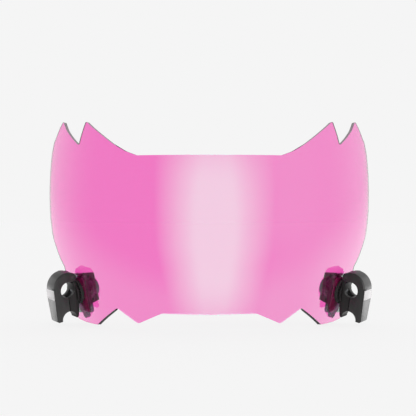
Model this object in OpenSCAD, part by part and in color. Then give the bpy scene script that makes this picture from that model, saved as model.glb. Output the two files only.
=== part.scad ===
// Football helmet visor: a barrel-shaped tinted shield held by two hinged bar clips.
// Frame: +Z up, -Y forward, origin under the middle of the whole part, on its lowest level.
// The shield is laid out about its own axis at its widest level; place() moves it to that origin.
// Each clip is laid out from the point where its turning axis leaves the shield's outer face:
// u runs outward along that axis, v up, and t towards the front of the shield.

/* [Shield] */
// Outer radius of the shield at its widest level
shield_r = 118; // [110:1:126]
// Radius of the shield's vertical curve
crown_r = 300; // [260:5:400]
// Thickness of the shield
shield_t = 2.2; // [1.8:0.1:2.6]
// Height of the straight top edge over the widest level
brow_h = 25.5; // [22:0.5:30]
// Drop of the straight bottom edge under the widest level
chin_h = 79.5; // [76:0.5:82]
// Height of the taller, rear point of the top edge
rear_peak_h = 51.5; // [46:0.5:56]
// Height of the front point of the top edge
front_peak_h = 50; // [46:0.5:54]
// Drop of the side lobes that carry the clips
lobe_h = 89.5; // [87:0.5:93]
// Angle round the shield from its middle to its side edges
side_angle = 76; // [73:0.5:78]
// Rounding of the points of the edge
tip_r = 1.5; // [0.8:0.1:2]

/* [Clip place] */
// Angle round the shield from its middle to the clip
clip_angle = 56; // [55:0.5:57]
// Drop of the clip's turning axis under the widest level
clip_drop = 67; // [65:0.5:69]
// Angle the clip stands at on its toothed ring, with its front end lower
clip_turn = 8; // [0:1:10]

/* [Clip] */
// Width of the clip along the bar
jaw_w = 11; // [10:0.5:13]
// Radius of the bore round the upper bar
bar_r = 5.5; // [5:0.1:5.8]
// Radius of the arch over the lower bar
arch_r = 5.7; // [5.2:0.1:6]
// Drop of the arch's centre below the bore's centre
bar_pitch = 20.8; // [20:0.2:23]
// Height of the bore's centre over the turning axis
bore_v = 4.3; // [4:0.1:4.8]
// Wall of the hook round the bore
hook_wall = 5.1; // [4.6:0.1:5.6]
// Extra height of the hook over the bore
hook_rise = 1.5; // [0.6:0.1:2]
// Distance from the shield's face to the middle of the bore
bore_u = 10; // [9.8:0.1:10.6]
// Radius of the hinge knuckle
knuckle_r = 3; // [2.8:0.1:3.2]
// Radius of the hinge pin
pin_r = 1.1; // [0.9:0.1:1.3]
// Width of the middle tongue of the hinge
tongue_w = 5.6; // [4.8:0.2:6.4]
// Chamfer along the edges of the clip
edge_cut = 0.8; // [0.4:0.1:1]

/* [Pivot] */
// Outer radius of the toothed ring
ring_r = 8.8; // [8.2:0.1:9.2]
// Number of teeth on the ring
teeth = 24; // [18:1:30]
// Height of the teeth
tooth_h = 0.5; // [0.3:0.1:0.6]
// Thickness of the ring's flange
flange_t = 0.8; // [0.6:0.1:1]
// Outer radius of the ring's collar, which sits in the shield
collar_r = 5.6; // [5.4:0.1:5.9]
// Radius of the clip's hub, which turns in the ring
hub_r = 4.2; // [4:0.1:4.4]
// Thickness of the outer pad at its middle
outer_pad_t = 0.9; // [0.7:0.1:1.2]
// Thickness of the inner pad at its middle
inner_pad_t = 1.3; // [1:0.1:1.6]

/* [Clamp] */
// Radius of the thumb screw's shank
screw_r = 2.5; // [2:0.1:2.6]
// Outer radius of the threaded insert
insert_r = 3.3; // [3.1:0.1:3.4]
// Width of the clamp plate along the shield
plate_w = 20; // [19:0.5:22]
// Reach of the clamp plate above the axis
plate_up = 10; // [9:0.5:11]
// Reach of the clamp plate below the axis
plate_down = 16; // [14:0.5:17]
// Thickness of the clamp plate
plate_t = 2.6; // [2.2:0.1:3]
// Thickness of the spring washer
washer_t = 0.6; // [0.4:0.1:0.8]
// Crown of the spring washer
washer_rise = 0.5; // [0.3:0.1:0.6]
// Radius of the knob's round base
knob_r = 8; // [7.5:0.1:9]
// Height of the knob
knob_h = 8; // [7:0.1:9]
// Half span of the knob's two wings
wing_reach = 11.5; // [11:0.1:12]
// Thickness of the wings
wing_w = 4.6; // [4:0.1:5]

/* [Hidden] */
$fn = 64;
// Running clearance of pins and hubs, and the larger gap of parts that only pass each other.
run = 0.05;
gap = 0.2;
seat = 0.02;

// The shield's surface: radius at a height, measured at a depth under the outer face.
function rad(z, depth = 0) = shield_r - crown_r + sqrt(pow(crown_r - depth, 2) - z * z);
function unit(p) = p / norm(p);
// A corner at b between a and c, replaced by a short round of radius r.
function round_corner(a, b, c, r, n = 4) =
    let (p = unit(a - b), q = unit(c - b), half = acos(p * q) / 2,
         reach = r / tan(half), centre = b + unit(p + q) * r / sin(half),
         start = b + p * reach - centre, end = b + q * reach - centre,
         turn = atan2(start[0] * end[1] - start[1] * end[0], start * end),
         first = atan2(start[1], start[0]))
    [for (i = [0 : n]) centre + r * [cos(first + turn * i / n), sin(first + turn * i / n)]];
function rounded(points, radii) =
    let (n = len(points))
    [for (i = [0 : n - 1])
        each radii[i] == 0 ? [points[i]]
            : round_corner(points[(i + n - 1) % n], points[i], points[(i + 1) % n], radii[i])];

// The wall is turned from straight bands, short enough to read as one curve.
bands = 24;
wall_low = -lobe_h - 4;
wall_high = rear_peak_h + 4;
deg_len = shield_r * PI / 180;
// Heights between the named ones grow with the shield.
grow = shield_r / 118;
// The left half of the shield's edge as angle round the shield, height and rounding, brow to chin.
half_edge = [
    [0, brow_h, 0], [24.5, brow_h, 8], [32.3, brow_h + 6.5 * grow, 30], [39.7, brow_h + 15 * grow, 0],
    [47.8, front_peak_h, tip_r], [49.6, 40.5 * grow, 0], [50.7, 35 * grow, 0.6],
    [55.6, 42.5 * grow, 0], [64.6, rear_peak_h, tip_r + 1], [67.4, 47.2 * grow, 0],
    [71, 40.5 * grow, 0], [side_angle - 2.2, 37 * grow, 4], [side_angle, 29 * grow, 14],
    [side_angle + 0.6, 12 * grow, 0], [side_angle + 0.6, -13 * grow, 0],
    [side_angle - 1.8, -28.7 * grow, 14], [70.2, -37 * grow, 30], [66.8, -44.6 * grow, 0],
    [63.6, -50.3 * grow, 0], [62.6, -58 * grow, 12], [61.6, 3 - lobe_h, 5],
    [54.8, 1 - lobe_h, 0], [47.4, -lobe_h, tip_r], [35.2, -chin_h + 2.6, 0.8],
    [27.2, 3 - lobe_h, tip_r + 1], [17, -chin_h, 12], [0, -chin_h, 0]];
// The same edge with its roundings, as length round the shield and height.
edge_line = rounded([for (p = half_edge) [p[0] * deg_len, p[1]]], [for (p = half_edge) p[2]]);
edge_steps = [for (i = [0 : len(edge_line) - 2])
    let (n = ceil(abs(edge_line[i + 1][0] - edge_line[i][0]) / (3.5 * deg_len)), m = max(n, 1))
    for (k = [0 : m - 1]) edge_line[i] + (edge_line[i + 1] - edge_line[i]) * k / m];
low_z = min([for (p = edge_steps) p[1]]);
back_y = max([for (p = edge_steps) -rad(p[1], shield_t) * cos(p[0] / deg_len)]);
mid_y = (back_y - shield_r) / 2;

// Stack heights along the clip's axis, outward from the shield's outer face.
tilt = asin(clip_drop / crown_r);
hole_r = collar_r + 0.1;
flange_u = outer_pad_t;
teeth_u = flange_u + flange_t;
back_u = teeth_u + tooth_h + 0.1;
collar_in = -shield_t - 0.4;
plate_u = -shield_t - inner_pad_t;
washer_u = plate_u - plate_t;
knob_u = washer_u - washer_t - washer_rise - run;
insert_in = -1.6;
// The insert and the screw stop short of the bar.
insert_out = bore_u - bar_r - 0.2;
screw_tip = insert_out + 0.4;
head_t = 3;
head_r = 4.3;

// Places in the clip's side view.
arch_u = bore_u + 1.2;
arch_v = bore_v - bar_pitch;
foot_v = arch_v - 0.2;
knuckle = [back_u + knuckle_r, bore_v + bar_r + knuckle_r - 0.6];
hook_r = bar_r + hook_wall;
hook_v = bore_v + hook_rise;
leg_u = bore_u + hook_r + 0.5;
shoulder_v = knuckle[1] - knuckle_r - gap;
web_top = bore_v - bar_r;
web_low = arch_v + arch_r;
catch_v = (web_low + web_top) / 2 - 0.2;
catch_h = 3;
catch_depth = 2.4;
catch_w = 6;
face_step = 0.3;

module place() {
    translate([0, -mid_y, -low_z]) children();
}
// Left is drawn, and right is its mirror image.
module on_side(side) {
    place() mirror([side == "right" ? 1 : 0, 0, 0]) children();
}
module clip_frame() {
    translate([-rad(clip_drop) * sin(clip_angle), -rad(clip_drop) * cos(clip_angle), -clip_drop])
        rotate([0, 0, -clip_angle]) rotate([tilt, 0, 0]) children();
}
// The clip's own pieces stand turned on its axis.
module clip_stand() {
    clip_frame() rotate([0, clip_turn, 0]) children();
}
// Turns a shape drawn along Z to lie along the clip's axis.
module along_axis(u = 0) {
    rotate([90, 0, 0]) translate([0, 0, u]) children();
}
// Draws a side view in u and v and gives it a width along the bar.
module across(width, shift = 0) {
    rotate([0, 0, -90]) rotate([90, 0, 0]) translate([0, 0, -shift])
        linear_extrude(width, center = true) children();
}
module tube(r_out, r_in, length) {
    difference() {
        cylinder(r = r_out, h = length);
        translate([0, 0, -1]) cylinder(r = r_in, h = length + 2);
    }
}
// The solid inside the shield's surface, taken at a depth under its outer face.
module barrel(depth, low, high, bands) {
    rotate_extrude($fn = 360)
        polygon([[0, low],
            for (i = [0 : bands]) let (z = low + (high - low) * i / bands) [rad(z, depth), z],
            [0, high]]);
}

// The shield's untrimmed wall.
module shield_wall() {
    reach = side_angle + 3;
    function edge(depth) =
        [for (i = [0 : bands]) let (z = wall_low + (wall_high - wall_low) * i / bands) [rad(z, depth), z]];
    rotate([0, 0, 270 - reach]) rotate_extrude(angle = 2 * reach, $fn = 180)
        polygon([each edge(0), for (i = [bands : -1 : 0]) edge(shield_t)[i]]);
}
// The shield's edge widens from the middle of its axis, so that it stands square to the wall all round.
module shield_edge() {
    near = 16;
    far = shield_r + 4;
    left = [for (p = edge_steps) let (a = p[0] / deg_len, deep = rad(p[1]) * cos(a))
        [-rad(p[1]) * sin(a), p[1]] * near / deep];
    right = [for (i = [len(left) - 1 : -1 : 1]) [-left[i][0], left[i][1]]];
    bottom = [0, -chin_h * near / rad(-chin_h)];
    translate([0, -near, 0]) rotate([90, 0, 0])
        linear_extrude(far - near, scale = far / near) polygon([each left, bottom, each right]);
}
module shield_hole() {
    clip_frame() along_axis(-2.5 * shield_t) {
        cylinder(r = hole_r, h = 4 * shield_t);
        for (turn = [0, 180]) rotate([0, 0, turn])
            translate([hole_r - 1, -1.1, 0]) cube([2.3, 2.2, 4 * shield_t]);
    }
}
module shield() {
    color([0.93, 0.42, 0.74, 0.6]) place() difference() {
        intersection() {
            shield_wall();
            shield_edge();
        }
        shield_hole();
        mirror([1, 0, 0]) shield_hole();
    }
}

// The closed clip's outline, hook, leg and foot, without its bore and arch.
module clip_outline() {
    intersection() {
        translate([bore_u, hook_v]) circle(r = hook_r);
        translate([knuckle[0], hook_v]) square(2 * hook_r);
    }
    translate(knuckle) circle(r = knuckle_r);
    polygon([knuckle + [0, knuckle_r], [bore_u, hook_v + hook_r], [bore_u, bore_v], knuckle]);
    polygon([[bore_u, hook_v], [bore_u + hook_r, hook_v], [leg_u, foot_v + 1.2],
        [leg_u - 1.2, foot_v], [bore_u, foot_v]]);
}
module inner_outline() {
    polygon([[back_u, -6], [back_u, shoulder_v - 1.3], [back_u + 1.2, shoulder_v],
        [knuckle[0] - 0.3, shoulder_v], [bore_u, bore_v], [bore_u, foot_v],
        [back_u + 2.6, foot_v], [back_u + 1.6, foot_v + 1]]);
}
module bars_cut() {
    translate([bore_u, bore_v]) circle(r = bar_r);
    translate([arch_u, arch_v]) circle(r = arch_r);
    translate([arch_u - arch_r, arch_v - 3]) square([2 * arch_r, 3]);
}
// Cuts a chamfer along the hook's round and the outer leg, on both faces of the clip.
module edge_chamfer() {
    for (face = [0, 1]) mirror([face, 0, 0]) {
        rotate([0, 0, -90]) rotate([90, 0, 0]) translate([bore_u, hook_v, jaw_w / 2])
            rotate_extrude(angle = 90)
                polygon([[hook_r - edge_cut, 0.01], [hook_r + 2, 0.01],
                    [hook_r + 2, -edge_cut - 2], [hook_r, -edge_cut]]);
    }
}

module outer_jaw(side) {
    color([0.16, 0.16, 0.17]) on_side(side) clip_stand() difference() {
        union() {
            across(jaw_w) difference() {
                clip_outline();
                bars_cut();
                translate([-20, foot_v - 5]) square([20 + bore_u + 0.1, bore_v - foot_v + 5]);
                translate([-20, bore_v - 1]) square([20 + knuckle[0] + 0.6, shoulder_v - bore_v + 1.1]);
                polygon([[bore_u, bore_v], [bore_u, 0], [knuckle[0], 0],
                    [knuckle[0] + 0.2, shoulder_v], [knuckle[0] + 1.2, knuckle[1] - knuckle_r]]);
            }
            across(catch_w) translate([bore_u - catch_depth, catch_v - catch_h / 2])
                square([catch_depth + 1, catch_h]);
        }
        across(tongue_w + 2 * gap) {
            translate(knuckle) circle(r = knuckle_r + gap);
            translate([0, bore_v]) square([knuckle[0] + knuckle_r - 0.4, knuckle[1] - bore_v]);
        }
        across(jaw_w + 2) translate(knuckle) circle(r = pin_r);
        for (face = [1, -1]) across(1, face * (jaw_w / 2 + 0.5 - face_step))
            translate([-1, knuckle[1] - knuckle_r - 3]) square([bore_u, 12]);
        edge_chamfer();
    }
}

module inner_jaw(side) {
    color([0.2, 0.2, 0.21]) on_side(side) clip_stand() difference() {
        union() {
            across(jaw_w - 2 * face_step) difference() {
                inner_outline();
                bars_cut();
            }
            across(tongue_w) difference() {
                union() {
                    translate(knuckle) circle(r = knuckle_r - 0.1);
                    translate([knuckle[0] - knuckle_r + 0.4, shoulder_v - 2])
                        square([2 * knuckle_r - 1.6, knuckle[1] - shoulder_v + 2]);
                }
                bars_cut();
            }
            along_axis(back_u) cylinder(r = ring_r - 1.4, h = 1.6);
            along_axis(insert_in) cylinder(r = hub_r, h = back_u - insert_in + 1);
        }
        across(jaw_w + 2) {
            translate(knuckle) circle(r = pin_r + run);
            translate([bore_u, bore_v]) circle(r = bar_r);
        }
        across(catch_w + 2 * gap) translate([bore_u - catch_depth - gap, catch_v - catch_h / 2 - gap])
            square([catch_depth + 2, catch_h + 2 * gap + 0.7]);
        along_axis(insert_in - 1) cylinder(r = insert_r, h = insert_out - insert_in + 1);
        along_axis(0) cylinder(r = screw_r + gap, h = bore_u);
    }
}

module hinge_pin(side) {
    color([0.55, 0.56, 0.58]) on_side(side) clip_stand()
        across(jaw_w - 2 * face_step - 0.1) translate(knuckle) circle(r = pin_r - seat / 2);
}

module thread_insert(side) {
    color([0.75, 0.6, 0.3]) on_side(side) clip_stand() along_axis(insert_in)
        tube(insert_r, screw_r + run, insert_out - insert_in);
}

module toothed_ring(side) {
    tooth_w = 0.8 * PI * collar_r * 2 / teeth;
    color([0.12, 0.12, 0.13]) on_side(side) clip_frame() union() {
        along_axis(flange_u) tube(ring_r, hub_r + run, flange_t);
        along_axis(collar_in) tube(collar_r, hub_r + run, flange_u - collar_in + 0.1);
        for (turn = [0, 180]) rotate([0, turn, 0]) along_axis(collar_in)
            translate([collar_r - 0.3, -1, 0]) cube([1.3, 2, flange_u - collar_in + 0.1]);
        along_axis(teeth_u) for (i = [0 : teeth - 1]) rotate([0, 0, (i + 0.5) * 360 / teeth])
            translate([collar_r, 0, -0.01]) rotate([90, 0, 90])
                linear_extrude(ring_r - collar_r - 0.2)
                    polygon([[-tooth_w / 2, 0], [tooth_w / 2, 0], [0, tooth_h]]);
    }
}

module outer_pad(side) {
    color([0.3, 0.3, 0.31]) on_side(side) difference() {
        clip_frame() along_axis(-2) tube(ring_r - 0.3, collar_r + 1.3, 2 + outer_pad_t - seat);
        barrel(-seat, -clip_drop - 16, -clip_drop + 16, 8);
    }
}

module plate_outline(inset) {
    corner = 3.5 - inset;
    w = plate_w / 2 - inset;
    for (x = [corner - w, w - corner], y = [corner + inset - plate_down, plate_up - inset - corner])
        translate([x, y]) circle(r = corner);
    translate([-w, corner + inset - plate_down])
        square([2 * w, plate_up + plate_down - 2 * inset - 2 * corner]);
    translate([corner - w, inset - plate_down])
        square([2 * (w - corner), plate_up + plate_down - 2 * inset]);
}
// The plate's grip tab above and its locating tail below.
module plate_ends(inset) {
    translate([-4 + inset, 0]) square([9 - 2 * inset, plate_up + 1.8 - inset]);
    translate([1, -plate_down - 1]) circle(r = 2.6 - inset);
    translate([-1.6 + inset, -plate_down - 1]) square([5.2 - 2 * inset, 6]);
}

module inner_pad(side) {
    color([0.3, 0.3, 0.31]) on_side(side) intersection() {
        clip_frame() difference() {
            along_axis(plate_u) linear_extrude(inner_pad_t + 2) plate_outline(0.6);
            along_axis(plate_u - 1) cylinder(r = hole_r + 1.4, h = inner_pad_t + 4);
        }
        barrel(shield_t + seat, -clip_drop - plate_w, -clip_drop + plate_w, 10);
    }
}

module clamp_plate(side) {
    color([0.14, 0.14, 0.15]) on_side(side) clip_frame() difference() {
        union() {
            along_axis(plate_u - plate_t) linear_extrude(plate_t - seat) {
                plate_outline(0);
                plate_ends(0);
            }
            along_axis(plate_u - plate_t) cylinder(r = hub_r - 0.2, h = plate_t + inner_pad_t - 0.6);
        }
        along_axis(plate_u - plate_t - 1) cylinder(r = screw_r + gap, h = plate_t + inner_pad_t + 2);
        for (x = [-1, 1], y = [-1, 1]) along_axis(plate_u - plate_t - 1)
            translate([x * (plate_w / 2 - 4), (y > 0 ? plate_up - 4 : 4 - plate_down), 0])
                cylinder(r = 1.4, h = 2);
    }
}

module spring_washer(side) {
    half = washer_t / 2;
    color([0.6, 0.6, 0.62]) on_side(side) clip_frame() along_axis(washer_u - washer_t - washer_rise)
        rotate_extrude() polygon([[screw_r + gap, 0], [5.4, washer_rise], [5.4, washer_rise + washer_t],
            [screw_r + gap, washer_t]]);
}

module thumb_knob(side) {
    color([0.13, 0.13, 0.14]) on_side(side) clip_frame() difference() {
        union() {
            along_axis(knob_u - 2.4) cylinder(r = knob_r, h = 2.4);
            along_axis(knob_u - 3.2) cylinder(r1 = knob_r - 0.8, r2 = knob_r, h = 0.8);
            along_axis(knob_u - knob_h) intersection() {
                translate([-wing_w / 2, -wing_reach, 0]) cube([wing_w, 2 * wing_reach, knob_h - 0.8]);
                cylinder(r1 = wing_reach - 1.6, r2 = wing_reach, h = knob_h);
            }
            along_axis(knob_u - knob_h) cylinder(r = head_r + 1.5, h = knob_h);
        }
        along_axis(knob_u - knob_h - 1) cylinder(r = screw_r, h = knob_h + 2);
        along_axis(knob_u - knob_h - 1) cylinder(r = head_r, h = head_t + 1.3);
        along_axis(knob_u - 2.4 - 1) for (i = [0 : 11]) rotate([0, 0, (i + 0.5) * 30])
            translate([knob_r + 0.5, 0, -0.5]) cylinder(r = 0.9, h = 5);
    }
}

module thumb_screw(side) {
    head_u = knob_u - knob_h + 0.3;
    color([0.62, 0.63, 0.65]) on_side(side) clip_frame() difference() {
        union() {
            along_axis(head_u) cylinder(r = head_r - seat, h = head_t - seat);
            along_axis(head_u + 1) cylinder(r = screw_r - seat, h = knob_u - head_u);
            along_axis(knob_u) cylinder(r = screw_r, h = screw_tip - knob_u);
        }
        along_axis(head_u - 1) cylinder(r = 2.3, h = 1 + 1.9, $fn = 6);
    }
}

shield();
for (side = ["left", "right"]) {
    inner_jaw(side);
    outer_jaw(side);
    hinge_pin(side);
    thread_insert(side);
    toothed_ring(side);
    outer_pad(side);
    inner_pad(side);
    clamp_plate(side);
    spring_washer(side);
    thumb_knob(side);
    thumb_screw(side);
}
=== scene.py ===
"""A tinted football helmet visor on its two hinged bar clips, front view in a white studio."""
import math

import bpy
from mathutils import Matrix, Vector

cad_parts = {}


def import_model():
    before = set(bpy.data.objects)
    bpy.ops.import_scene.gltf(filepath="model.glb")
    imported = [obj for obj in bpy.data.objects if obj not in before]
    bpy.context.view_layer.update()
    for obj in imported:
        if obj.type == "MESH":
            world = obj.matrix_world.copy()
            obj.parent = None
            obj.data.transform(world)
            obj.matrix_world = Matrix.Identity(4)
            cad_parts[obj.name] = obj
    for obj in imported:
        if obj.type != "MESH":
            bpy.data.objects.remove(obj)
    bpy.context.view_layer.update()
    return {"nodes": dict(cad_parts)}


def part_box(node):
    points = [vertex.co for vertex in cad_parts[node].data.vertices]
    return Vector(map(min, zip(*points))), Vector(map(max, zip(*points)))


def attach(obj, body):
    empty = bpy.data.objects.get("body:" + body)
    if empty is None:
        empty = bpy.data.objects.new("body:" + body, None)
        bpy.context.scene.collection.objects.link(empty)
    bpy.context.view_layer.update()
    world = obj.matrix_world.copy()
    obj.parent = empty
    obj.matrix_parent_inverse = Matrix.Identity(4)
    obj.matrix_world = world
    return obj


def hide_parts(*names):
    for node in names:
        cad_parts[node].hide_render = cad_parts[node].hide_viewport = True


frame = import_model()
MM = 0.001
SIDES = ("left", "right")

# The shield as its solid has it, in millimetres and degrees. Levels count from its widest level.
SHIELD_R = 118.0
CROWN_R = 300.0
SHIELD_T = 2.2
BROW_H = 25.5
CHIN_H = 79.5
LOBE_H = 89.5
REAR_PEAK_H = 51.5
FRONT_PEAK_H = 50.0
SIDE_ANGLE = 76.0
SIDE_BULGE = 0.6
TIP_R = 1.5
HOLE_R = 5.7
CLIP_ANGLE = 56.0
CLIP_DROP = 67.0

# The clips as their solids have them, in millimetres and degrees. U is out of the shield, V up the clip and
# T across it. HOOK and LEG are the upper and lower end of a clip's outer side.
CLIP_TURN = 8.0
JAW_W = 11.0
BORE_V = 4.3
HOOK_RISE = 1.5
HOOK_U = 20.6
HOOK_V = BORE_V + HOOK_RISE
LEG_U = 21.1
LEG_V = -15.5
SPLIT_U = 10.05

# The shield's cut edge, in millimetres: the slant of its side lobes, and where it turns from clear to grey.
LOBE_TOP = -76.0
LOBE_START_X = 60.5
LOBE_FADE = 2.0
LOBE_SLANT = 1.0
CLEAR_EDGE_X = 61.0
GREY_EDGE_X = 64.0

# The clips' finer forms, in millimetres and degrees: rounded edges, the groove between the jaws, the taper
# of the leg and the blank plate.
OUTER_JAW_ROUND = 0.35
INNER_JAW_ROUND = 0.25
GROOVE_W = 0.7
GROOVE_DEPTH = 1.2
GROOVE_SPARE = 1.0
TAPER_U = 3.5
TAPER_V = 2.0
TAPER_TURN = -9.0
TAPER_END_U = 40.0
TAPER_LENGTH = 60.0
TAPER_DEPTH = 30.0
PLATE_V = 3.0
PLATE_H = 6.8
PLATE_T = 0.5
PLATE_SUNK = 0.2
PLATE_INSET = 0.35
PLATE_CORNER_R = 0.6
PLATE_EDGE_R = 0.08

# How finely the shield is made, the room that its tools have and the place of its finish on the rim.
RIM_FINISH = 1
CORNER_STEPS = 6
EDGE_STEP_DEGREES = 2.0
CROWN_STEPS = 720
SPIN_DEGREES = 79
HOLE_STEPS = 96
HOLE_TOOL_LENGTH = 12.0
TOOL_SPARE = 4.0
TOOL_NEAR = 16.0
WALL_REACH = 120.0
WALL_TOLERANCE = 0.5
WALL_FACING = 0.5
WALL_SMOOTH = 30

# How points are merged, in metres, and the angles, in degrees, that count as flat or are shaded smooth.
MERGE_GAP = 1e-6
TWIN_MERGE_GAP = 1e-5
SOLID_MERGE_GAP = 2e-6
FLAT_ANGLE = 0.5
PIECE_SMOOTH = 40

# The moulded skin and the saw marks of the cut edge.
CLOUD_SCALE = 120
CLOUD_DETAIL = 4
CLOUD_MIDDLE = 0.5
WORN_CLOUDS = (0.35, 0.75)
WORN_SHARE = 0.35
GRAIN_SCALE = 2500
ROUGHNESS_SPREAD = 0.12
SAW_SCALE = 900
BUMP_DISTANCE = 0.0001

# The camera: its place in metres, its sensor in millimetres, and the photograph's frame in its pixels.
CAMERA_AWAY = 1.0
CAMERA_H = 0.0801
SENSOR = 36
PICTURE = 416
MIDDLE_X = 209.25
FOCAL_LENGTH = 1352.46

# The floor, in metres: how grey it is, what share the camera sees as plain white, and how bright that is.
FLOOR_SIZE = 12
FLOOR_DROP = 0.0005
FLOOR_GREY = 0.7
FLOOR_WHITE_SHARE = 0.86
FLOOR_GLOW = 1.06

# The levels of the studio's light, as the visor mirrors it.
PLAIN_LEVEL = 0.56
FRONT_LEVEL = 3.22
SIDES_LEVEL = 0.42
RIGHT_LEVEL = 0.6
RIGHT_LOW_SHARE = 0.65
LOW_LEVEL = 0.54
LOW_RIGHT_LEVEL = 0.25

# Where each light starts and ends: turns to the right in radians, heights from -1 to 1.
FRONT_TURN = 0.07
FRONT_CORE = (0.24, 0.15)
FRONT_CORE_HEIGHTS = (-0.05, 0.22)
FRONT_END = 0.74
FRONT_NARROWING = 0.1
FRONT_NARROWING_HEIGHTS = (-0.25, -0.55)
FRONT_BOTTOM_HEIGHTS = (-0.78, -0.38)
FRONT_TOP_HEIGHTS = (0.05, 0.55)
SIDES_TURNS = (1.45, 2.3)
RIGHT_START_TURNS = (0.4, 0.9)
RIGHT_END_TURNS = (1.0, 2.75)
RIGHT_HEIGHTS = (-0.35, -0.1)
LOW_HEIGHTS = (-0.08, -0.32)
LOW_RIGHT_TURNS = (1.2, 1.7)
LOW_RISE_BEHIND = 0.16
LOW_RISE_BEFORE = 0.3

# The lamps on each clip: degrees over the horizon, width and height in metres, and how bright.
LAMP_DISTANCE = 0.3
CLIP_LAMPS = ((12, 0.2, 0.3, 1.4), (-14, 0.2, 0.12, 3.4))

# A card's corners as degrees round the shield and level of the spots that mirror them to the camera.
CARD_EDGE = [
    (46, -55), (42.8, -57), (42, -61), (42, -66.5), (43.4, -71.6), (46.4, -73), (47.5, -80),
    (50.6, -84.4), (54, -86), (57, -80), (57, -62), (51, -55)]
CARD_AWAY = 30.0
# How brightly each card glows, as a painted reflection on the shield.
CARD_LEVEL = 0.36

# The left half of the edge: degrees round the shield, level, rounding, from brow to chin.
HALF_EDGE = [
    (0, BROW_H, 0), (24.3, BROW_H, 6), (28.6, BROW_H + 2.9, 25), (33.6, BROW_H + 8, 40),
    (39.7, BROW_H + 15.2, 60), (47.8, FRONT_PEAK_H, TIP_R), (49.5, 40.5, 0), (50.5, 33.6, 1.2),
    (55.2, 38.8, 0), (60, 44.5, 0), (64.6, REAR_PEAK_H, TIP_R + 1), (67.4, 47.2, 0), (71, 40.5, 0),
    (SIDE_ANGLE - 2.2, 37, 4), (SIDE_ANGLE, 29, 14), (SIDE_ANGLE + SIDE_BULGE, 12, 0),
    (SIDE_ANGLE + SIDE_BULGE, -13, 0), (SIDE_ANGLE - 1.8, -28.7, 14), (70.2, -37, 30), (66.8, -44.6, 0),
    (63.6, -50.3, 0), (62.6, -58, 12), (61.6, 3 - LOBE_H, 5), (54.8, 1 - LOBE_H, 0),
    (47.4, -LOBE_H, TIP_R), (35.2, 2.6 - CHIN_H, 1.8), (26.9, 2.5 - LOBE_H, 4), (17, -CHIN_H, 12),
    (0, -CHIN_H - 0.6, 0)]
DEGREE_MM = SHIELD_R * math.pi / 180


# Places on the shield and its clips.
def flat_radius(level):
    """Radius of the shield's outer face about its upright axis, at a level."""
    return SHIELD_R - CROWN_R + math.sqrt(CROWN_R ** 2 - level * level)


def rounded_corner(before, corner, after, radius):
    """The points of a short round in place of a corner."""
    to_before = (before - corner).normalized()
    to_after = (after - corner).normalized()
    half = math.acos(max(-1.0, min(1.0, to_before.dot(to_after)))) / 2
    centre = corner + (to_before + to_after).normalized() * (radius / math.sin(half))
    start = corner + to_before * (radius / math.tan(half)) - centre
    end = corner + to_after * (radius / math.tan(half)) - centre
    turn = math.atan2(start.x * end.y - start.y * end.x, start.dot(end))
    first = math.atan2(start.y, start.x)
    angles = [first + turn * i / CORNER_STEPS for i in range(CORNER_STEPS + 1)]
    return [centre + radius * Vector((math.cos(a), math.sin(a))) for a in angles]


def edge_points():
    """The left half of the edge as (millimetres round the shield, level), rounded and finely stepped."""
    corners = [Vector((degrees * DEGREE_MM, level)) for degrees, level, _ in HALF_EDGE]
    line = [corners[0]]
    for i in range(1, len(corners) - 1):
        radius = HALF_EDGE[i][2]
        if radius:
            line += rounded_corner(corners[i - 1], corners[i], corners[i + 1], radius)
        else:
            line.append(corners[i])
    line.append(corners[-1])
    fine = []
    for here, there in zip(line, line[1:]):
        steps = max(1, math.ceil(abs(there.x - here.x) / (EDGE_STEP_DEGREES * DEGREE_MM)))
        fine += [here.lerp(there, k / steps) for k in range(steps)]
    return fine + [line[-1]]


# The shield's upright axis and the height of its widest level, in metres.
EDGE = edge_points()
AXIS_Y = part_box("shield")[0].y + SHIELD_R * MM
WIDEST_Z = -min(p.y for p in EDGE) * MM


def side_sign(side):
    """The sign of X on a side."""
    return -1 if side == "left" else 1


def clip_axes(side, turned=0.0):
    """Where a clip's axis leaves the shield, and its directions u, v and t, turned about that axis."""
    sign = side_sign(side)
    angle = math.radians(CLIP_ANGLE)
    tilt = math.asin(CLIP_DROP / CROWN_R)
    r = flat_radius(CLIP_DROP)
    origin = Vector((sign * r * math.sin(angle) * MM, AXIS_Y - r * math.cos(angle) * MM,
                     WIDEST_Z - CLIP_DROP * MM))
    u = Vector((sign * math.sin(angle) * math.cos(tilt), -math.cos(angle) * math.cos(tilt), -math.sin(tilt)))
    t = Vector((-sign * math.cos(angle), -math.sin(angle), 0))
    v = t.cross(u) if sign > 0 else u.cross(t)
    if v.z < 0:
        v.negate()
    turn = math.radians(turned)
    return origin, u, v * math.cos(turn) + t * math.sin(turn), t * math.cos(turn) - v * math.sin(turn)


def clip_matrix(side, at_u, at_v, lean):
    """Places a piece drawn with u along X and v along Z on a turned clip, leaning out at its top."""
    origin, u, v, t = clip_axes(side, CLIP_TURN)
    along = (v * math.cos(lean) + u * math.sin(lean)).normalized()
    out = (u * math.cos(lean) - v * math.sin(lean)).normalized()
    m = Matrix((out, along.cross(out), along)).transposed().to_4x4()
    m.translation = origin + (u * at_u + v * at_v) * MM
    return m


# Working with operators.
def pick(piece):
    """Makes one piece the only selected and active object."""
    bpy.ops.object.select_all(action="DESELECT")
    piece.select_set(True)
    bpy.context.view_layer.objects.active = piece


def newest(name):
    """Names the piece that an operator has just made."""
    piece = bpy.context.active_object
    piece.name = name
    piece.data.name = name
    return piece


def placed(name, data):
    """An object put into the scene round its data."""
    piece = bpy.data.objects.new(name, data)
    bpy.context.scene.collection.objects.link(piece)
    return piece


def open_mesh(select="SELECT"):
    """Enters edit mode on the active piece and selects all of it, or with DESELECT nothing."""
    bpy.ops.object.mode_set(mode="EDIT")
    bpy.ops.mesh.select_all(action=select)


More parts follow.
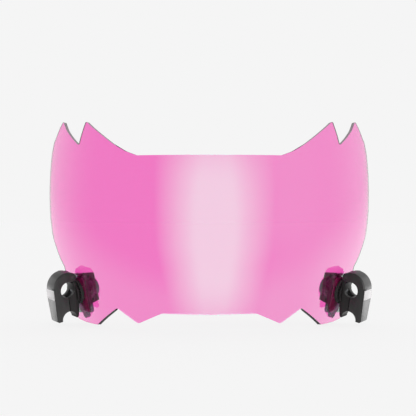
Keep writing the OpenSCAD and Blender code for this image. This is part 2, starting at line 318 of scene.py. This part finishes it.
def close_mesh():
    """Leaves edit mode."""
    bpy.ops.object.mode_set(mode="OBJECT")


def select_nothing():
    """Clears the selection inside the active piece, so that code can select by place."""
    open_mesh("DESELECT")
    close_mesh()


def apply_all(piece):
    """Applies every modifier and the placing of a piece."""
    pick(piece)
    for modifier in list(piece.modifiers):
        bpy.ops.object.modifier_apply(modifier=modifier.name)
    bpy.ops.object.transform_apply(location=True, rotation=True, scale=True)


def cut(piece, tool, operation="DIFFERENCE"):
    """Cuts a piece with a tool and throws the tool away."""
    pick(piece)
    modifier = piece.modifiers.new("cut", "BOOLEAN")
    modifier.operation = operation
    modifier.solver = "EXACT"
    modifier.object = tool
    bpy.ops.object.modifier_apply(modifier=modifier.name)
    bpy.data.objects.remove(tool, do_unlink=True)


def smooth(piece, degrees):
    """Shades a piece smooth, apart from edges sharper than an angle."""
    pick(piece)
    bpy.ops.object.shade_smooth_by_angle(angle=math.radians(degrees))


def outward(piece):
    """Merges a piece's doubles and turns its faces outwards."""
    pick(piece)
    open_mesh()
    bpy.ops.mesh.remove_doubles(threshold=MERGE_GAP)
    bpy.ops.mesh.normals_make_consistent(inside=False)
    close_mesh()


def copy_of(node, name):
    """A merged copy of a solid's mesh, to be given softer edges."""
    piece = placed(name, frame["nodes"][node].data.copy())
    piece.data.name = name
    piece.data.materials.clear()
    pick(piece)
    open_mesh()
    bpy.ops.mesh.remove_doubles(threshold=SOLID_MERGE_GAP)
    bpy.ops.mesh.dissolve_limited(angle_limit=math.radians(FLAT_ANGLE))
    close_mesh()
    return piece


def soften(piece, width, segments=3, degrees=30):
    """Rounds the edges of a piece that are sharper than an angle."""
    modifier = piece.modifiers.new("round", "BEVEL")
    modifier.width = width * MM
    modifier.segments = segments
    modifier.limit_method = "ANGLE"
    modifier.angle_limit = math.radians(degrees)
    apply_all(piece)
    smooth(piece, PIECE_SMOOTH)


# Shader nodes. A value given to them is a plain one or another node's output.
def feed(tree, socket, value):
    """Gives a value to one socket."""
    if isinstance(value, bpy.types.NodeSocket):
        tree.links.new(value, socket)
    else:
        socket.default_value = value


def fill(tree, node, values):
    """Gives values to a node's inputs by their labels."""
    for label, value in values.items():
        feed(tree, node.inputs[label], value)


def calc(tree, kind, *values):
    """What one kind of sum makes of up to three values."""
    node = tree.nodes.new("ShaderNodeMath")
    node.operation = kind
    for socket, value in zip(node.inputs, values):
        feed(tree, socket, value)
    return node.outputs["Value"]


def ramp(tree, value, limits, levels=(0, 1), kind="LINEAR"):
    """Goes from one level to another while a value goes between two limits, and is flat past them."""
    node = tree.nodes.new("ShaderNodeMapRange")
    node.interpolation_type = kind
    fill(tree, node, {"Value": value, "From Min": limits[0], "From Max": limits[1],
                      "To Min": levels[0], "To Max": levels[1]})
    return node.outputs["Result"]


def soft_ramp(tree, value, limits, levels=(0, 1)):
    """A ramp with no corner at its ends."""
    return ramp(tree, value, limits, levels, "SMOOTHSTEP")


def mixed(tree, kind, share, first, second):
    """Two colours or two numbers, mixed by a share of the second."""
    node = tree.nodes.new("ShaderNodeMix")
    node.data_type = kind
    fill(tree, node, {"Factor": share, "A": first, "B": second})
    return node.outputs["Result"]


def noise(tree, place, scale, detail=2):
    """A cloudy mask."""
    node = tree.nodes.new("ShaderNodeTexNoise")
    fill(tree, node, {"Vector": place, "Scale": scale, "Detail": detail})
    return node.outputs["Fac"]


def raised(tree, height, strength):
    """The normal of a surface with a fine relief."""
    node = tree.nodes.new("ShaderNodeBump")
    fill(tree, node, {"Strength": strength, "Distance": BUMP_DISTANCE, "Height": height})
    return node.outputs["Normal"]


def split(tree, vector):
    """A vector's three numbers, by the names X, Y and Z."""
    node = tree.nodes.new("ShaderNodeSeparateXYZ")
    feed(tree, node.inputs["Vector"], vector)
    return node.outputs


def seen(tree):
    """1 for what the camera sees, also through the visor, and 0 for what lights or is mirrored."""
    path = tree.nodes.new("ShaderNodeLightPath").outputs
    return calc(tree, "MAXIMUM", path["Is Camera Ray"], path["Is Transmission Ray"])


def new_group(name, inputs, outputs):
    """An empty node group whose inputs and outputs are given as labels and kinds of socket."""
    group = bpy.data.node_groups.new(name, "ShaderNodeTree")
    for way, sockets in (("INPUT", inputs), ("OUTPUT", outputs)):
        for label, kind in sockets.items():
            group.interface.new_socket(name=label, in_out=way, socket_type=kind)
    return group, group.nodes.new("NodeGroupInput"), group.nodes.new("NodeGroupOutput")


# Materials.
def srgb(r, g, b):
    """A colour as it is seen, from 0 to 255, in linear light."""
    def linear(c):
        c /= 255
        return c / 12.92 if c <= 0.04045 else ((c + 0.055) / 1.055) ** 2.4
    return (linear(r), linear(g), linear(b), 1.0)


STUDIO_WHITE = srgb(245, 245, 245)


def material(name):
    """A new material, its node tree and its shader."""
    m = bpy.data.materials.new(name)
    m.use_nodes = True
    return m, m.node_tree, m.node_tree.nodes["Principled BSDF"]


def moulded_skin():
    """The fine skin of a moulded part: a shade that wanders slightly, a satin roughness and a fine grain."""
    colour = "NodeSocketColor"
    number = "NodeSocketFloat"
    group, start, end = new_group(
        "moulded skin",
        {"Colour": colour, "Worn Colour": colour, "Grain Scale": number, "Cloud Scale": number,
         "Roughness": number, "Roughness Spread": number},
        {"Colour": colour, "Roughness": number, "Height": number})
    given = start.outputs
    place = group.nodes.new("ShaderNodeTexCoord").outputs["Object"]
    cloud = noise(group, place, given["Cloud Scale"], CLOUD_DETAIL)
    worn = ramp(group, cloud, WORN_CLOUDS, (0, WORN_SHARE))
    centred = calc(group, "SUBTRACT", cloud, CLOUD_MIDDLE)
    fill(group, end, {
        "Colour": mixed(group, "RGBA", worn, given["Colour"], given["Worn Colour"]),
        "Roughness": calc(group, "MULTIPLY_ADD", centred, given["Roughness Spread"], given["Roughness"]),
        "Height": noise(group, place, given["Grain Scale"])})
    return group


SKIN = moulded_skin()


def skinned(name, colour, worn, rough, relief=0.1, metallic=0.0, ior=1.5):
    """A material with the moulded skin and its own values."""
    m, tree, shader = material(name)
    skin = tree.nodes.new("ShaderNodeGroup")
    skin.node_tree = SKIN
    fill(tree, skin, {
        "Colour": colour, "Worn Colour": worn, "Grain Scale": GRAIN_SCALE, "Cloud Scale": CLOUD_SCALE,
        "Roughness": rough, "Roughness Spread": ROUGHNESS_SPREAD})
    fill(tree, shader, {
        "Base Color": skin.outputs["Colour"], "Roughness": skin.outputs["Roughness"],
        "Normal": raised(tree, skin.outputs["Height"], relief), "Metallic": metallic, "IOR": ior})
    return m


def visor_tint():
    """Pink polycarbonate under a thin mirror coat."""
    m, tree, shader = material("visor tint")
    fill(tree, shader, {
        "Base Color": (0.96, 0.16, 0.605, 1), "Transmission Weight": 1.0, "Roughness": 0.0, "IOR": 2.2,
        "Specular Tint": (0.06, 1.0, 0.525, 1)})
    return m


def edge_finish():
    """The cut edge of the shield: grey round the sides, clear across the front where light comes through.
    Its grey and gloss are painted light and shade: dark along the bottom edge, paler and glossier toward the
    top.
    """
    m, tree, shader = material("cut edge")
    place = tree.nodes.new("ShaderNodeTexCoord").outputs["Object"]
    parts = split(tree, place)
    # Painted light and shade: rise darkens the edge's grey toward the bottom and makes it paler and glossier
    # toward the top, as if lit from above.
    rise = ramp(tree, parts["Z"], (WIDEST_Z - CHIN_H * MM, WIDEST_Z + BROW_H * MM))
    aside = calc(tree, "ABSOLUTE", parts["X"])
    fill(tree, shader, {
        "Base Color": mixed(tree, "RGBA", rise, srgb(48, 44, 46), srgb(138, 126, 132)),
        "Alpha": ramp(tree, aside, (CLEAR_EDGE_X * MM, GREY_EDGE_X * MM)),
        "Specular IOR Level": ramp(tree, rise, (0, 1), (0.04, 0.5)),
        "Normal": raised(tree, noise(tree, place, SAW_SCALE), 0.15),
        "Roughness": 0.35})
    return m


clip_plastic = skinned("clip plastic", srgb(31, 30, 30), srgb(42, 41, 41), 0.4)
# Painted shade and reflection: the inner jaw's plastic is darker and faintly pink where the outer jaw's is
# neutral, standing in for the shade and the shield's pink light on it.
dark_plastic = skinned("dark plastic", srgb(24, 20, 21), srgb(33, 29, 30), 0.5, ior=1.4)
ring_plastic = skinned("ring plastic", srgb(34, 32, 32), srgb(46, 44, 44), 0.5)
# Painted light: the clamp plate is dark plastic, given a paler grey that stands in for the strong light
# reaching it behind the shield.
plate_plastic = skinned("plate plastic", srgb(112, 106, 108), srgb(130, 124, 126), 0.36)
pad_rubber = skinned("pad rubber", srgb(34, 32, 32), srgb(46, 44, 44), 0.75, relief=0.3)
pad_grey = skinned("pad grey", srgb(190, 183, 186), srgb(202, 196, 198), 0.75, relief=0.3)
# Painted light: the thumb knob is dark plastic, given a paler grey that stands in for the strong light
# reaching it behind the shield.
knob_plastic = skinned("knob plastic", srgb(118, 112, 114), srgb(138, 132, 134), 0.38)
steel = skinned("steel", srgb(176, 178, 182), srgb(150, 152, 156), 0.28, metallic=1.0)
black_steel = skinned("black steel", srgb(70, 69, 69), srgb(96, 95, 94), 0.34, metallic=1.0)
plate_white = skinned("plate white", srgb(226, 224, 225), srgb(210, 208, 209), 0.45, relief=0.05)
cut_edge = edge_finish()
tint = visor_tint()


# The shield.
def barrel():
    """The shield's uncut outer surface: its upright curve, spun halfway round the axis and mirrored."""
    bpy.ops.mesh.primitive_circle_add(
        vertices=CROWN_STEPS, radius=CROWN_R * MM, rotation=(0, math.pi / 2, 0),
        location=(0, AXIS_Y + (CROWN_R - SHIELD_R) * MM, WIDEST_Z))
    wall = newest("visor_shield")
    apply_all(wall)
    select_nothing()
    high = WIDEST_Z + (REAR_PEAK_H + TOOL_SPARE) * MM
    low = WIDEST_Z - (LOBE_H + TOOL_SPARE) * MM
    for vertex in wall.data.vertices:
        vertex.select = vertex.co.y > AXIS_Y or not low < vertex.co.z < high
    bpy.ops.object.mode_set(mode="EDIT")
    bpy.ops.mesh.delete(type="VERT")
    bpy.ops.mesh.select_all(action="SELECT")
    bpy.ops.mesh.spin(
        steps=SPIN_DEGREES, angle=math.radians(SPIN_DEGREES), center=(0, AXIS_Y, 0), axis=(0, 0, 1))
    close_mesh()
    twin = wall.modifiers.new("twin", "MIRROR")
    twin.use_clip = True
    twin.merge_threshold = TWIN_MERGE_GAP
    apply_all(wall)
    outward(wall)
    front = min(wall.data.polygons, key=lambda face: face.center.y)
    if front.normal.y > 0:
        wall.data.flip_normals()
    return wall


def edge_tool():
    """A block whose sides leave the middle of the shield's axis and pass through its edge."""
    far = SHIELD_R + TOOL_SPARE
    left = []
    for p in EDGE:
        angle = math.radians(p.x / DEGREE_MM)
        r = flat_radius(p.y)
        grow = TOOL_NEAR / (r * math.cos(angle))
        left.append((-r * math.sin(angle) * grow * MM, p.y * grow * MM))
    right = [(-x, z) for x, z in reversed(left[1:-1])]
    drawn = bpy.data.curves.new("edge", "CURVE")
    drawn.dimensions = "3D"
    spline = drawn.splines.new("POLY")
    spline.points.add(len(left + right) - 1)
    for point, (x, z) in zip(spline.points, left + right):
        point.co = (x, 0, z, 1)
    spline.use_cyclic_u = True
    tool = placed("edge", drawn)
    tool.location = (0, AXIS_Y - TOOL_NEAR * MM, WIDEST_Z)
    pick(tool)
    bpy.ops.object.convert(target="MESH")
    apply_all(tool)
    open_mesh()
    bpy.ops.mesh.edge_face_add()
    bpy.ops.mesh.extrude_region_move(TRANSFORM_OT_translate={"value": (0, (TOOL_NEAR - far) * MM, 0)})
    bpy.ops.transform.resize(
        value=(far / TOOL_NEAR, 1, far / TOOL_NEAR), center_override=(0, AXIS_Y - far * MM, WIDEST_Z))
    bpy.ops.mesh.select_all(action="SELECT")
    bpy.ops.mesh.normals_make_consistent(inside=False)
    close_mesh()
    return tool


def hole_tool(side):
    """A rod through the shield where a clip is clamped."""
    origin, u = clip_axes(side)[:2]
    bpy.ops.mesh.primitive_cylinder_add(
        vertices=HOLE_STEPS, radius=HOLE_R * MM, depth=HOLE_TOOL_LENGTH * MM, location=origin,
        rotation=u.to_track_quat("Z", "Y").to_euler())
    return newest("hole")


def on_wall(face):
    """True for a face that lies on the shield's outer surface."""
    spot = face.center - Vector((0, AXIS_Y, WIDEST_Z))
    level = min(max(spot.z / MM, -WALL_REACH), WALL_REACH)
    flat = Vector((spot.x, spot.y, 0))
    off = abs(flat.length / MM - flat_radius(level))
    return off < WALL_TOLERANCE and abs(face.normal.dot(flat.normalized())) > WALL_FACING


def trim(wall, tool, operation="DIFFERENCE"):
    """Cuts the surface and deletes the faces that the tool leaves behind."""
    cut(wall, tool, operation)
    pick(wall)
    select_nothing()
    for face in wall.data.polygons:
        face.select = not on_wall(face)
    bpy.ops.object.mode_set(mode="EDIT")
    bpy.ops.mesh.select_mode(type="FACE")
    bpy.ops.mesh.delete(type="FACE")
    bpy.ops.mesh.select_mode(type="VERT")
    close_mesh()


def thicken(wall):
    """Gives the surface its thickness, inwards, with the cut edge's finish on its rim."""
    wall.data.materials.append(tint)
    wall.data.materials.append(cut_edge)
    thick = wall.modifiers.new("thick", "SOLIDIFY")
    thick.thickness = SHIELD_T * MM
    thick.offset = -1
    thick.use_even_offset = True
    thick.material_offset_rim = RIM_FINISH
    apply_all(wall)


def slant_lobes(wall):
    """Slants the cut edge of the two side lobes, so that it faces a little to the front."""
    push = {}
    for face in wall.data.polygons:
        if face.material_index == RIM_FINISH:
            for index in face.vertices:
                push[index] = push.get(index, Vector((0, 0, 0))) + face.normal
    for index, out in push.items():
        spot = wall.data.vertices[index].co
        level = (spot.z - WIDEST_Z) / MM
        depth = flat_radius(level) - math.hypot(spot.x, spot.y - AXIS_Y) / MM
        if level < LOBE_TOP and depth > SHIELD_T / 2:
            share = min(1.0, max(0.0, (abs(spot.x) / MM - LOBE_START_X) / LOBE_FADE))
            spot += out.normalized() * (LOBE_SLANT * share * MM)
            spot.z = max(spot.z, 0.0)


def shield():
    """The barrel-curved wall, cut to its outline as a surface and then given its thickness."""
    wall = barrel()
    trim(wall, edge_tool(), "INTERSECT")
    for side in SIDES:
        trim(wall, hole_tool(side))
    thicken(wall)
    slant_lobes(wall)
    smooth(wall, WALL_SMOOTH)
    return wall


visor = shield()
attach(visor, "shield")
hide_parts("shield")


# The clips.
def clip_block(side, low, high, turned=0.0):
    """A block between two corners in a turned clip's u, v and t, turned about u at its first corner."""
    origin, u, v, t = clip_axes(side, CLIP_TURN)
    bpy.ops.mesh.primitive_cube_add(size=1)
    block = newest("block")
    size = [b - a for a, b in zip(low, high)]
    middle = [s / 2 for s in size]
    turn = Matrix.Rotation(math.radians(turned), 4, "X")
    shape = turn @ Matrix.Translation(middle) @ Matrix.Diagonal((*size, 1))
    axes = Matrix((u, v, t)).transposed().to_4x4() * MM
    axes[3][3] = 1
    axes.translation = origin + (u * low[0] + v * low[1] + t * low[2]) * MM
    block.matrix_world = axes @ shape
    apply_all(block)
    outward(block)
    return block


def groove(piece, side):
    """Opens the joint between the two jaws to a fine line on both faces of the clip."""
    for face in (1, -1):
        inner = face * (JAW_W / 2 - GROOVE_DEPTH)
        outer = face * (JAW_W / 2 + GROOVE_SPARE)
        low = (SPLIT_U - GROOVE_W / 2, LEG_V, min(inner, outer))
        high = (SPLIT_U + GROOVE_W / 2, BORE_V, max(inner, outer))
        cut(piece, clip_block(side, low, high))


def taper(piece, side):
    """Narrows the leg toward its foot, on the face that looks away from the middle."""
    face = -JAW_W / 2
    first = (TAPER_U, TAPER_V, face)
    last = (TAPER_END_U, TAPER_V - TAPER_LENGTH, face - TAPER_DEPTH)
    cut(piece, clip_block(side, first, last, TAPER_TURN))


def jaw(side, node, body, width, finish):
    """One jaw of a clip, made from its solid, with its groove, taper and rounded edges."""
    piece = copy_of(f"{node}_{side}", f"soft_{node}_{side}")
    groove(piece, side)
    taper(piece, side)
    soften(piece, width)
    piece.data.materials.append(finish)
    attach(piece, f"{body}_{side}")
    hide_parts(f"{node}_{side}")
    return piece


def round_plate_corners(plate):
    """Rounds the four short edges of the plate."""
    modifier = plate.modifiers.new("corners", "BEVEL")
    modifier.width = PLATE_CORNER_R * MM
    modifier.segments = 4
    modifier.limit_method = "WEIGHT"
    weights = plate.data.attributes.new("bevel_weight_edge", "FLOAT", "EDGE")
    for edge in plate.data.edges:
        ends = [plate.data.vertices[i].co for i in edge.vertices]
        weights.data[edge.index].value = 1.0 if abs(ends[0].x - ends[1].x) > PLATE_T * MM / 2 else 0.0
    apply_all(plate)


def blank_plate(side):
    """The blank plate on the outer side of a clip's leg."""
    lean = math.atan2(HOOK_U - LEG_U, HOOK_V - LEG_V)
    at_u = HOOK_U + (LEG_U - HOOK_U) * (HOOK_V - PLATE_V) / (HOOK_V - LEG_V)
    bpy.ops.mesh.primitive_cube_add(size=MM)
    plate = newest(f"blank_plate_{side}")
    plate.scale = (PLATE_T, JAW_W - 2 * PLATE_INSET, PLATE_H)
    apply_all(plate)
    round_plate_corners(plate)
    soften(plate, PLATE_EDGE_R, segments=2, degrees=60)
    plate.matrix_world = clip_matrix(side, at_u + PLATE_T / 2 - PLATE_SUNK, PLATE_V, lean)
    apply_all(plate)
    plate.data.materials.append(plate_white)
    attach(plate, f"jaw_{side}")
    return plate


clip_pieces = []
for side in SIDES:
    clip_pieces.append(jaw(side, "outer_jaw", "jaw", OUTER_JAW_ROUND, clip_plastic))
    clip_pieces.append(jaw(side, "inner_jaw", "clip", INNER_JAW_ROUND, dark_plastic))
    clip_pieces.append(blank_plate(side))

# The solids that stay, and their finishes.
SOLID_FINISHES = {
    "hinge_pin": black_steel, "thread_insert": black_steel, "toothed_ring": ring_plastic,
    "outer_pad": pad_rubber, "inner_pad": pad_grey, "clamp_plate": plate_plastic,
    "spring_washer": steel, "thumb_knob": knob_plastic, "thumb_screw": steel}
for side in SIDES:
    for node, finish in SOLID_FINISHES.items():
        for slot in frame["nodes"][f"{node}_{side}"].material_slots:
            slot.material = finish


# The studio.
def stage():
    """A pale floor, nearly plain white to the camera and through the visor. Mirrors don't see it."""
    bpy.ops.mesh.primitive_plane_add(size=FLOOR_SIZE, location=(0, 0, -FLOOR_DROP))
    floor = newest("floor")
    m, tree, shader = material("studio floor")
    fill(tree, shader, {"Base Color": (FLOOR_GREY, FLOOR_GREY, FLOOR_GREY, 1), "Roughness": 0.9})
    glow = tree.nodes.new("ShaderNodeEmission")
    fill(tree, glow, {"Color": STUDIO_WHITE, "Strength": FLOOR_GLOW})
    both = tree.nodes.new("ShaderNodeMixShader")
    feed(tree, both.inputs["Fac"], calc(tree, "MULTIPLY", seen(tree), FLOOR_WHITE_SHARE))
    feed(tree, both.inputs[1], shader.outputs["BSDF"])
    feed(tree, both.inputs[2], glow.outputs["Emission"])
    feed(tree, tree.nodes["Material Output"].inputs["Surface"], both.outputs["Shader"])
    floor.data.materials.append(m)
    floor.visible_glossy = False


def front_light(tree, turn, height):
    """The broad light in front: narrower toward its top and bottom, where it also fades out."""
    off_middle = calc(tree, "ABSOLUTE", calc(tree, "SUBTRACT", turn, FRONT_TURN))
    narrowing = ramp(tree, height, FRONT_NARROWING_HEIGHTS, (0, FRONT_NARROWING))
    off_middle = calc(tree, "ADD", off_middle, narrowing)
    core = ramp(tree, height, FRONT_CORE_HEIGHTS, FRONT_CORE)
    light = ramp(tree, off_middle, (core, FRONT_END), (FRONT_LEVEL, 0))
    light = calc(tree, "MULTIPLY", light, soft_ramp(tree, height, FRONT_BOTTOM_HEIGHTS))
    return calc(tree, "MULTIPLY", light, soft_ramp(tree, height, FRONT_TOP_HEIGHTS, (1, 0)))


def right_light(tree, turn, height):
    """The paler light on the right, weaker toward the floor."""
    start = soft_ramp(tree, turn, RIGHT_START_TURNS, (0, RIGHT_LEVEL))
    light = calc(tree, "MULTIPLY", start, soft_ramp(tree, turn, RIGHT_END_TURNS, (1, 0)))
    return calc(tree, "MULTIPLY", light, soft_ramp(tree, height, RIGHT_HEIGHTS, (RIGHT_LOW_SHARE, 1)))


def low_light(tree, turn, back, height):
    """The light off the floor, which reaches higher behind the visor and lower before it."""
    behind = calc(tree, "MULTIPLY", calc(tree, "MAXIMUM", back, 0), LOW_RISE_BEHIND)
    before = calc(tree, "MULTIPLY", calc(tree, "MINIMUM", back, 0), LOW_RISE_BEFORE)
    sunk = calc(tree, "SUBTRACT", calc(tree, "SUBTRACT", height, behind), before)
    light = calc(tree, "ADD", soft_ramp(tree, turn, LOW_RIGHT_TURNS, (0, LOW_RIGHT_LEVEL)), LOW_LEVEL)
    return calc(tree, "MULTIPLY", light, soft_ramp(tree, sunk, LOW_HEIGHTS))


def world():
    """White to the camera. What lights the visor is soft: a broad light in front, paler sides and floor."""
    studio = bpy.data.worlds.new("studio")
    studio.use_nodes = True
    bpy.context.scene.world = studio
    tree = studio.node_tree
    direction = split(tree, tree.nodes.new("ShaderNodeTexCoord").outputs["Generated"])
    height = direction["Z"]
    back = direction["Y"]
    turn = calc(tree, "ARCTAN2", direction["X"], calc(tree, "MULTIPLY", back, -1))
    aside = calc(tree, "ABSOLUTE", turn)
    lights = (
        front_light(tree, turn, height), soft_ramp(tree, aside, SIDES_TURNS, (0, SIDES_LEVEL)),
        right_light(tree, turn, height), low_light(tree, turn, back, height))
    level = PLAIN_LEVEL
    for light in lights:
        level = calc(tree, "ADD", light, level)
    fill(tree, tree.nodes["Background"], {
        "Color": STUDIO_WHITE, "Strength": mixed(tree, "FLOAT", seen(tree), level, 1.0)})


def clip_lamp(side, rise, width, height, level, lit):
    """A soft lamp that a clip's outer side mirrors to the camera. It lights the pieces in lit alone."""
    origin, u = clip_axes(side, CLIP_TURN)[:2]
    toward_eye = Vector((0, -1, 0))
    mirrored = 2 * u.dot(toward_eye) * u - toward_eye
    away = Vector((mirrored.x, mirrored.y, math.tan(math.radians(rise)))).normalized()
    data = bpy.data.lights.new(f"clip_lamp_{side}", "AREA")
    data.shape = "RECTANGLE"
    data.size = width
    data.size_y = height
    data.energy = level * math.pi * width * height
    lamp = placed(data.name, data)
    lamp.location = origin + u * LEG_U * MM + away * LAMP_DISTANCE
    lamp.rotation_euler = away.to_track_quat("Z", "Y").to_euler()
    lamp.visible_camera = False
    lamp.light_linking.receiver_collection = lit


def card(side):
    """A dim glowing sheet beside a clip that only mirrors see: a painted reflection that darkens the shield
    over the clamp behind it.
    """
    eye = Vector((0, AXIS_Y - CAMERA_AWAY, CAMERA_H))
    corners = []
    for degrees, level in CARD_EDGE:
        angle = math.radians(degrees)
        tilt = math.asin(level / CROWN_R)
        flat = Vector((side_sign(side) * math.sin(angle), -math.cos(angle), 0))
        spot = flat * (flat_radius(level) * MM) + Vector((0, AXIS_Y, WIDEST_Z + level * MM))
        out = flat * math.cos(tilt) + Vector((0, 0, math.sin(tilt)))
        corners.append(spot + (spot - eye).normalized().reflect(out) * (CARD_AWAY * MM))
    mesh = bpy.data.meshes.new(f"card_{side}")
    mesh.from_pydata(corners, [], [list(range(len(corners)))])
    piece = placed(mesh.name, mesh)
    m, tree, shader = material(mesh.name)
    # Painted reflection: the sheet glows at CARD_LEVEL and is seen only in mirrors, where it dims the
    # shield.
    fill(tree, shader, {
        "Base Color": (0, 0, 0, 1), "Specular IOR Level": 0, "Emission Color": (1, 1, 1, 1),
        "Emission Strength": CARD_LEVEL})
    mesh.materials.append(m)
    piece.visible_camera = False
    piece.visible_diffuse = False
    piece.visible_transmission = False
    piece.visible_shadow = False


def camera():
    """Looks level at the visor, with the photograph's frame."""
    data = bpy.data.cameras.new("camera")
    data.sensor_width = SENSOR
    data.lens = FOCAL_LENGTH / PICTURE * SENSOR
    data.shift_x = -(MIDDLE_X - PICTURE / 2) / PICTURE
    holder = placed("camera", data)
    holder.location = (0, AXIS_Y - CAMERA_AWAY, CAMERA_H)
    holder.rotation_euler = (math.pi / 2, 0, 0)
    bpy.context.scene.camera = holder


stage()
world()
lit_by_lamps = bpy.data.collections.new("lit by clip lamps")
for piece in clip_pieces:
    lit_by_lamps.objects.link(piece)
for side in SIDES:
    for rise, width, height, level in CLIP_LAMPS:
        clip_lamp(side, rise, width, height, level, lit_by_lamps)
    card(side)
camera()
bpy.context.scene.view_settings.view_transform = "Standard"
